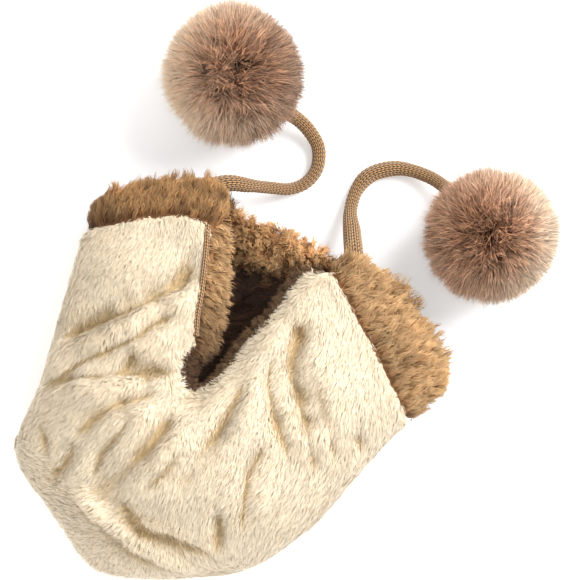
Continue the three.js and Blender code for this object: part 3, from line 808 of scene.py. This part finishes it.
class HOOD_OT_ties(bpy.types.Operator):
    """The two knitted ties, from each flap to its pompom"""

    bl_idname = "hood.ties"
    bl_label = "Ties"

    rings = 260
    around = 48
    stitch = 0.0030
    wales = 11
    # The radius between the stitches, and how much they add, as shares.
    between, relief = 0.9, 0.14

    def execute(self, context):
        settings = context.scene.hood_ties
        material = knit_material("knitted yarn", settings.yarn, settings.gap, 1 / self.stitch, self.wales)
        for side, tie in TIES.items():
            route = smooth_route(to_frame(tie["route"]), self.rings)
            length = np.linalg.norm(np.diff(route, axis=0), axis=1).sum()
            step = length / (self.rings - 1)

            def ridges(k, angles):
                wale = (angles / (2 * math.pi) * self.wales) % 1
                half = np.abs(wale - 0.5)
                course = (k * step / self.stitch + STITCH_SLANT * half) % 1
                leg = 1 - (4 * np.abs(half - 0.25)) ** 2
                return self.between + self.relief * leg * (1 - (2 * np.abs(course - 0.5)) ** 3)

            radius = np.interp(np.linspace(0, 1, self.rings), *np.transpose(tie["thickness"])) * MM / 2
            mesh = tube(side + "_tie", route, radius, self.around, ridges)
            piece = add_object(side + "_tie", mesh, material, (side + "_cord",))
            made[side + "_tie"] = (piece, route, float(length))
        return {"FINISHED"}


class HOOD_OT_shell(bpy.types.Operator):
    """The backing under the pile and fur: plush side, crown panel, lining, cuff and binding"""

    bl_idname = "hood.shell"
    bl_label = "Backing"

    # The darkest colour of the lining's backing: painted shade inside the hood.
    lining_root = (0.16, 0.09, 0.05)

    def execute(self, context):
        plush, fur = context.scene.hood_plush, context.scene.hood_fur
        shell = made["shell"] = Shell()
        cream = cloth_material("plush backing", plush.tip, plush.root)
        brown = cloth_material("fur backing", fur.middle, fur.root)
        dark = cloth_material("lining backing", fur.lining, self.lining_root)
        rows = [
            ("hood_side", "plush_side", cream, "cream_plush"),
            ("crown_panel", "plush_crown", cream, "cream_plush"),
            ("fur_lining", "lining", dark, "lining_fur"),
            ("neck_cuff", "cuff", brown, "brown_fur"),
            ("face_binding", "binding", brown, "brown_fur"),
        ]
        for solid, name, material, slot in rows:
            add_object(name, shell.piece(name, shell.faces_of(solid)), material, (solid,))
        return {"FINISHED"}


class HOOD_OT_plush(bpy.types.Operator):
    """The short combed pile of the side and the crown panel"""

    bl_idname = "hood.plush"
    bl_label = "Plush pile"

    # The top of the underside, and where the left and right halves of the side meet.
    under, halves = 0.008, -0.015
    # The crown's pile begins at this y, and lies away from a middle.
    crown_from, crown_middle = -0.085, (0.0, -0.05, 0.02)
    # How near the cuff and the binding the pile begins to lean over them, and how much. It does so less along
    # the tape, which is left of and above a corner.
    cuff_reach, cuff_lean = 0.006, 0.8
    binding_reach, binding_lean = 0.009, 1.9
    tape_corner, tape_lean = (-0.02, 0.02), 0.3
    # Free length before a strand, strands in a tuft, how much tufts and strands stray, how much a tuft
    # gathers.
    clear, tuft, tuft_stray, strand_stray, gather = 0.004, 9, 0.14, 0.09, 0.4
    # Factors of the length, the widths, and how deep the roots are sunk in the backing.
    lengths, widths, sunk = (0.7, 1.15), (0.0003, 0.00065), 0.0004
    # How much a strand stands up at its middle, at its tip and where its tuft gathers, and lies over at its
    # middle.
    middle_rise, tip_rise, gathered_rise, middle_lie = 0.46, 0.22, 0.24, 0.9
    # How much the brightness varies by strand and by tuft. The share of the folds' painted shade colour at the
    # tips, and the brightness of that painted shade at the roots.
    strand_shade, tuft_shade, valley_share, valley_dark = 0.06, 0.035, 0.8, 0.8

    def execute(self, context):
        plush = context.scene.hood_plush
        shell = made["shell"]
        side, upper = shell.faces_of("hood_side"), shell.centres[:, 2] > self.under
        left = shell.centres[:, 0] < self.halves
        # Each piece's name, faces, share of the strands, and seed.
        rows = [
            ("side_pile_left", side & upper & left, 0.45, 11),
            ("side_pile_right", side & upper & ~left, 0.49, 12),
            ("side_pile_under", side & ~upper, 0.06, 13),
            ("crown_pile", shell.faces_of("crown_panel"), 0.14, 14),
        ]
        material = strand_material("plush pile", 0.75, sheen=0.2)
        for name, chosen, share, seed in rows:
            roots, normals, picked = shell.roots(chosen, int(plush.strands * share), seed, self.clear)
            rng = np.random.default_rng(seed + 100)
            tufts = Tufts(rng, roots, self.tuft, seed + 200)
            lean = self.combing(shell, roots)
            flat = unit(lean - normals * (lean * normals).sum(axis=1, keepdims=True))
            tilt = unit(tufts.shared(3)) * self.tuft_stray
            combed = unit(flat + tilt + tufts.single(3) * self.strand_stray)
            length = plush.length * rng.uniform(*self.lengths, len(roots))[:, None]
            middles = roots + length * 0.5 * unit(normals * self.middle_rise + combed * self.middle_lie)
            tips = roots + length * unit(normals * self.tip_rise + combed)
            gathered = unit(normals * self.gathered_rise + flat + tilt)
            gathered = roots[tufts.middle] + plush.length * gathered
            tips += self.gather * (gathered - tips)
            deep, shade = self.shades(shell, roots, normals, picked)
            shade *= 1 + tufts.single() * self.strand_shade
            shade *= 1 + tufts.shared() * self.tuft_shade
            # Painted shade in the folds: the valley colour at the tips, and a darker one at the roots.
            valley_shade, low = tinted(plush.valley_shade, shade), tinted(plush.valley_shade, shade * self.valley_dark)
            tip = mixed(tinted(plush.tip, shade), valley_shade, deep * self.valley_share)
            root = mixed(tinted(plush.root, shade), low, deep)
            widths = rng.uniform(*self.widths, len(roots))
            shading = unit(normals + flat * 0.25 + tufts.single(3) * 0.10 + tilt * 0.25)
            levels = (roots - normals * self.sunk, middles, tips)
            colours = (root, root * 0.3 + tip * 0.7, tip)
            mesh = strands_mesh(name, levels, tufts.turned(normals), widths, colours, shading)
            add_object(name, mesh, material)
        return {"FINISHED"}

    def combing(self, shell, roots):
        """Which way the pile is combed: from the neck down to the crown, and over the edges."""
        swirl = waves(roots, 0.11, 5) * 0.35
        lean = np.stack([0.12 + swirl, -np.ones(len(roots)), np.zeros(len(roots))], axis=1)
        crown = roots[:, 1] < self.crown_from
        lean[crown] = unit(roots[crown] - np.array(self.crown_middle))
        lean[:, 2] -= 0.15
        near, way = shell.toward(roots, ("neck_cuff",), self.cuff_reach)
        lean += way * near[:, None] * self.cuff_lean
        near, way = shell.toward(roots, ("face_binding",), self.binding_reach)
        x, y = self.tape_corner
        by_tape = (roots[:, 0] < x) & (roots[:, 1] > y)
        lean += way * (near * np.where(by_tape, self.tape_lean, self.binding_lean))[:, None]
        return lean

    def shades(self, shell, roots, normals, picked):
        """How far each root is in a hollow, up to 1, and its brightness, darker in hollows and at the bottoms
        of folds as painted shade. The left flank, which faces sideways, gets painted shade as if it were a
        hollow.
        """
        bottom = folds_at(roots)[1] * np.clip(normals[:, 2] * 2, 0, 1) * (roots[:, 2] > Shell.side_height)
        flank = np.clip(0.7 - normals[:, 2], 0, 1) * (roots[:, 0] < -0.06)
        hollow = shell.depth[picked]
        deep = hollow / 0.003 + shell.creases[picked] * 0.2 + bottom * 0.8 + flank * 0.5
        shade = 1 + 0.05 * waves(roots, 0.05, 6) + 0.04 * waves(roots, 0.012, 7)
        shade -= 0.07 * np.clip(hollow / 0.0015, -0.8, 1) + 0.2 * bottom
        return np.clip(deep, 0, 1), shade


class HOOD_OT_fur(bpy.types.Operator):
    """The longer curly fur of the cuff, the binding and the lining"""

    bl_idname = "hood.fur"
    bl_label = "Brown fur"

    # Free length before a strand, strands in a tuft, factors of the length, widths, and how deep the roots
    # are sunk.
    clear, tuft, lengths, widths, sunk = 0.006, 16, (0.75, 1.15), (0.00024, 0.0006), 0.0005
    # Points along a strand: the share of its length, and of its curl's and its tuft's pull.
    points = ((0.33, 0.09, 0.2), (0.68, -0.07, 0.6), (0.97, 0.06, 1.0))
    # How much strands lie over, and stray by themselves and in their curl.
    lean_share, strand_stray, curl_stray = 0.8, 0.15, 0.2
    # How much the brightness varies by strand and by tuft, and the painted light on a tuft's middle and
    # painted shade at its edge, on the left first.
    strand_shade, tuft_shade, contrasts = 0.09, 0.14, (0.62, 0.36)
    # The cuff's fur stands out of its solid by about this much.
    stand_out = 0.0024
    # The back of the neck is between these x and below this z, and gets painted light. Its fur turns inside
    # past
    # a line and gets painted shade there: the way to that line and how far it is.
    nape_x, nape_z = (-0.052, 0.027), 0.062
    turn_way, turn_at = (-0.494, 0.869, 0.0), 0.097
    # Left of this x, the binding is on the left side of the face opening.
    binding_middle = -0.0105
    # Brightness of the root, the middle and the tip of the fur inside the hood, whose dark roots are painted
    # shade, and of the painted shade on the binding.
    inner, dusk = (0.2, 0.8, 1.5), (0.2, 0.5, 0.9)

    def execute(self, context):
        fur = context.scene.hood_fur
        shell = made["shell"]
        material = strand_material("brown fur", 0.8, sheen=0.08, variation=0.4)
        west = shell.centres[:, 0] < 0.0
        anywhere = np.ones(len(west), bool)
        # Each piece's name, solid and faces, shares of the strands and of their length, and seed.
        rows = [
            ("left_cuff_fur", "neck_cuff", west, 0.5, 1.0, 21),
            ("right_cuff_fur", "neck_cuff", ~west, 0.5, 1.0, 24),
            ("binding_fur", "face_binding", anywhere, 0.16, 0.55, 22),
            ("lining_pile", "fur_lining", anywhere, 0.2, 0.85, 23),
        ]
        for name, solid, side, share, size, seed in rows:
            chosen = shell.faces_of(solid) & side
            roots, normals, _ = shell.roots(chosen, int(fur.strands * share), seed, self.clear)
            rng = np.random.default_rng(seed + 100)
            tufts = Tufts(rng, roots, self.tuft, seed + 200)
            length = fur.length * size * rng.uniform(*self.lengths, len(roots))[:, None]
            lean, factor, lift, tilted, gather, curl = self.lie(solid, roots)
            length *= factor
            flat = lean - normals * np.minimum((lean * normals).sum(axis=1, keepdims=True), 0)
            tilt = tufts.shared(3) * tilted
            laid = normals * lift + flat * self.lean_share + tilt
            free = unit(laid + tufts.single(3) * self.strand_stray)
            bend = unit(np.cross(free, tufts.shared(3))) + tufts.single(3) * self.curl_stray
            gathered = roots[tufts.middle] + length * unit(laid)
            pull = gather * (gathered - roots - length * free)
            levels = [roots - normals * self.sunk]
            for along, aside, pulled in self.points:
                levels.append(roots + length * (along * free + aside * curl * bend) + pull * pulled)
            if solid == "neck_cuff":
                room = Shell.room[solid]
                kept = (room + self.stand_out) / (room + shell.outside(levels[-1]))
                kept = np.clip(kept, 0.3, 1)[:, None]
                levels = [levels[0] + kept * (level - levels[0]) for level in levels]
            shade = (1 + 0.08 * waves(roots, 0.04, 6)) * (1 + tufts.single() * self.strand_shade)
            shade *= 1 + tufts.shared() * self.tuft_shade
            # Painted light at each tuft's middle and painted shade toward its edge, so that the locks stand
            # apart.
            off = np.linalg.norm(roots - roots[tufts.middle], axis=1)
            contrast = np.where((roots[:, 0] < 0.0) & (solid != "face_binding"), *self.contrasts)
            shade *= 1 + contrast * (0.5 - np.clip(off / np.quantile(off, 0.9), 0, 1))
            if solid == "neck_cuff":
                self.shade_cuff(shell, roots, shade)
            root, middle, tip = self.colours(fur, solid, roots, shade, rng)
            widths = rng.uniform(*self.widths, len(roots))
            upward = normals + np.array((0.0, 0.0, 0.0 if solid == "fur_lining" else 0.7))
            facing = tufts.turned(upward)
            shading = unit(upward + free * 0.3 + tufts.single(3) * 0.15 + tilt * 0.45)
            colours = (root, middle, tip * 0.5 + middle * 0.5, tip)
            mesh = strands_mesh(name, levels, facing, widths, colours, shading)
            add_object(name, mesh, material)
        return {"FINISHED"}

    def at_nape(self, roots):
        """Which roots are at the back of the neck."""
        west, east = self.nape_x
        return (roots[:, 0] > west) & (roots[:, 0] < east) & (roots[:, 2] < self.nape_z)

    def lie(self, solid, roots):
        """How the fur lies: its lean, a factor of its length, its lift, its tufts' tilt and pull, its curl."""
        left = roots[:, :1] < 0.0
        length, curl = np.ones((2, len(roots), 1))
        lift, tilted, gather = np.where(left, 0.35, 0.5), np.where(left, 0.15, 0.16), 0.42
        if solid == "neck_cuff":
            lean = np.where(left, (-0.2, 1.0, 0.1), (0.5, 0.85, 0.1)) + waves(roots, 0.05, 8)[:, None] * 0.2
            nape = self.at_nape(roots)
            lean[nape] = (0.0, -0.2, -0.4)
            length[nape], lift[nape], tilted[nape], curl[nape] = 0.75, 0.6, 0.45, 1.7
        elif solid == "fur_lining":
            lean = np.stack([waves(roots, 0.07, 9), waves(roots, 0.07, 10), np.zeros(len(roots))], axis=1)
        else:
            left = roots[:, :1] < self.binding_middle
            lean = np.where(left, (1.0, -0.25, -0.3), (-0.6, -0.25, -0.3))
            length = np.where(left, 1.2, 0.9) * np.clip(0.4 + roots[:, 1:2] / 0.05, 0.5, 1)
            lift, tilted, gather = 0.45, 0.25, 0.3
        return lean, length, lift, tilted, gather, curl

    def shade_cuff(self, shell, roots, shade):
        """Paints shade on the left of the cuff and light on its right, darkens it next to the plush, and
        paints light on the back of the neck and shade where that fur turns inside.
        """
        shade *= np.where(roots[:, 0] < 0.0, 0.84, 1.06) - 0.3 * shell.toward(roots, ("hood_side",), 0.025)[0]
        nape = self.at_nape(roots)
        shade[nape] *= 1.65
        shade[nape & (roots @ np.array(self.turn_way) < self.turn_at)] *= 0.4

    def colours(self, fur, solid, roots, shade, rng):
        """The colours of the root, the middle and the tip."""
        if solid == "fur_lining":
            return [tinted(fur.lining, shade * factor) for factor in self.inner]
        middle = tinted(fur.middle, shade)
        tip = mixed(tinted(fur.tip, shade), middle, rng.uniform(0, 0.7, len(roots)))
        colours = (tinted(fur.root, shade), middle, tip)
        if solid == "neck_cuff":
            warm = np.where(roots[:, :1] < 0.03, (1.03, 0.92, 0.80), 1.0)
            warm[self.at_nape(roots)] = (1.02, 0.96, 0.92)
            return [np.clip(colour * warm, 0, 1) for colour in colours]
        # Painted shade on the binding: its colours mix toward the lining's, on the left more toward the
        # bottom, on the right evenly.
        left = roots[:, 0] < self.binding_middle
        dark = np.where(left, np.clip(1.25 - roots[:, 1] / 0.055, 0, 0.95), 0.8)
        return [mixed(colour, tinted(fur.lining, shade * k), dark) for colour, k in zip(colours, self.dusk)]


class HOOD_OT_tape(bpy.types.Operator):
    """The knitted tape along the left side of the face opening"""

    bl_idname = "hood.tape"
    bl_label = "Seam tape"

    radius = 0.0021
    # How far the tape is moved to the right, and over the backing. The ray that finds the backing starts at
    # the top.
    aside, over, top = 0.004, 0.002, 0.2
    courses, wales, rings, around = 450.0, 4, 150, 14

    def execute(self, context):
        settings = context.scene.hood_ties
        points = []
        for x, y in to_frame(TAPE_ROUTE) + (self.aside, 0):
            hit = made["shell"].tree.ray_cast(Vector((x, y, self.top)), Vector((0, 0, -1)))[0]
            points.append((x, y, hit.z + self.over))
        route = smooth_route(points, self.rings)
        material = knit_material("tape yarn", settings.yarn, settings.gap, self.courses, self.wales)
        mesh = tube("face_tape", route, np.full(len(route), self.radius), self.around)
        add_object("face_tape", mesh, material)
        return {"FINISHED"}


class HOOD_OT_pompoms(bpy.types.Operator):
    """The two fur pompoms, whose hair stands out from a round core"""

    bl_idname = "hood.pompoms"
    bl_label = "Pompoms"

    # The core's radius as a share of the pompom's, its backing's, and its rings and the points round one.
    core_share, heart_share, rings, around = 0.48, 0.98, 22, 28
    core_dark = (0.2, 0.1, 0.05)
    # Strands in a tuft, how much tufts and strands stray, and how far the fur hangs.
    tuft, tuft_stray, strand_stray, sag = 32, 0.16, 0.10, (0.0, 0.0, -0.05)
    # Factors of the radius that strands reach. The share of fine ones, which reach farther, and their width.
    reaches, fine_share, fine_reach, fine_width = (0.84, 1.09), 0.3, 1.05, 0.00034
    widths = (0.00042, 0.00095)
    # How much fine and other strands gather in tufts.
    gather_fine, gather = 0.05, 0.36
    # How much the outline swells in waves and by tuft, and how much a strand bulges outward at its middle.
    swell, tuft_swell, bulge = 0.03, 0.015, 0.04
    # The share of bright strands, and the brightness of those and of the others, which varies by strand and
    # tuft.
    bright_share, bright, dull, strand_shade, tuft_shade = 0.32, 1.8, 0.7, 0.1, 0.14

    def execute(self, context):
        settings = context.scene.hood_pompoms
        material = strand_material("pompom fur", 0.7, sheen=0.1, variation=0.25)
        backing = cloth_material("pompom core", settings.root, self.core_dark)
        for seed, (side, tie) in enumerate(TIES.items(), 31):
            centre = to_frame([tie["pompom"]])[0]
            radius = tie["radius"] * MM
            rng = np.random.default_rng(seed)
            count = settings.strands
            direction = unit(rng.normal(size=(count, 3)))
            core = radius * self.core_share
            sag = np.array(self.sag)
            tufts = Tufts(rng, direction, self.tuft, seed + 200)
            tilt = tufts.shared(3) * self.tuft_stray
            roots = centre + direction * core
            free = unit(direction + tilt + tufts.single(3) * self.strand_stray + sag)
            reach = radius * rng.uniform(*self.reaches, count)[:, None]
            reach *= 1 + self.swell * waves(direction, 1.1, seed)[:, None] + tufts.shared(1) * self.tuft_swell
            fine = rng.random(count) < self.fine_share
            reach[fine] *= self.fine_reach
            tips = centre + free * reach
            gathered = centre + unit(direction[tufts.middle] + tilt + sag) * radius
            tips += np.where(fine, self.gather_fine, self.gather)[:, None] * (gathered - tips)
            middles = (roots + tips) / 2 + direction * radius * self.bulge
            # Painted light toward the lit side of each pompom, and painted shade on the other side.
            toward = direction @ np.array(tie["painted_light_side"])
            shade = np.where(rng.random(count) < self.bright_share, self.bright, self.dull)
            shade *= 1 + tufts.single() * self.strand_shade + tufts.shared() * self.tuft_shade
            shade *= tie["brightness"] + tie["gradient"] * toward
            light = tinted(settings.light, shade * tie["lit"])
            tip = mixed(tinted(settings.shaded_grey, shade), light, 0.5 + 0.9 * toward)
            # Painted shade on the top, where the view falls between the strands to their dark depths: the tips
            # there take a colour near the middle's.
            top = np.clip((direction[:, 2] - 0.55) / 0.4, 0, 1)
            tip = mixed(tip, tinted(settings.middle, shade * 1.3), 0.7 * top)
            middle = mixed(tinted(settings.middle, shade), tip, 0.3 + 0.5 * toward)
            colours = (tinted(settings.root, shade), middle, tip)
            widths = np.where(fine, self.fine_width, rng.uniform(*self.widths, count))
            facing = tufts.single(3) * 0.7 + direction * 0.2 + np.array((0.0, 0.0, 0.9))
            shading = unit(facing + direction * 0.6)
            name = side + "_pompom_fur"
            mesh = strands_mesh(name, (roots, middles, tips), facing, widths, colours, shading)
            fur = add_object(name, mesh, material, (side + "_pompom",))
            ring = np.linspace(-math.pi / 2, math.pi / 2, self.rings)
            line = centre + np.stack([core * self.heart_share * np.sin(ring), 0 * ring, 0 * ring], axis=1)
            radii = np.maximum(core * self.heart_share * np.cos(ring), 1e-5)
            ball = tube(side + "_pompom_core", line, radii, self.around)
            heart = add_object(side + "_pompom_core", ball, backing)
        return {"FINISHED"}


class HOOD_PT_panel(bpy.types.Panel):
    """The hood's settings and the buttons that build its pieces"""

    bl_idname = "HOOD_PT_panel"
    bl_label = "Hood"
    bl_space_type = "VIEW_3D"
    bl_region_type = "UI"
    bl_category = "Hood"

    def draw(self, context):
        scene = context.scene
        for name in PROPERTY_GROUPS:
            box = self.layout.box()
            settings = getattr(scene, name)
            for key in settings.__annotations__:
                box.prop(settings, key)
        for operator in OPERATORS:
            self.layout.operator(operator.bl_idname)


OPERATORS = (
    HOOD_OT_stage,
    HOOD_OT_ties,
    HOOD_OT_shell,
    HOOD_OT_plush,
    HOOD_OT_fur,
    HOOD_OT_tape,
    HOOD_OT_pompoms,
)
PROPERTY_GROUPS = {
    "hood_plush": HoodPlush,
    "hood_fur": HoodFur,
    "hood_pompoms": HoodPompoms,
    "hood_ties": HoodTies,
    "hood_stage": HoodStage,
}
CLASSES = (*PROPERTY_GROUPS.values(), *OPERATORS, HOOD_PT_panel)


def register():
    for cls in CLASSES:
        bpy.utils.register_class(cls)
    for name, group in PROPERTY_GROUPS.items():
        setattr(bpy.types.Scene, name, PointerProperty(type=group))


def unregister():
    for name in PROPERTY_GROUPS:
        delattr(bpy.types.Scene, name)
    for cls in reversed(CLASSES):
        bpy.utils.unregister_class(cls)


def main():
    register()
    bpy.ops.hood.stage()
    bpy.ops.hood.ties()
    bpy.ops.hood.shell()
    bpy.ops.hood.plush()
    bpy.ops.hood.fur()
    bpy.ops.hood.tape()
    bpy.ops.hood.pompoms()


if __name__ == "__main__":
    main()
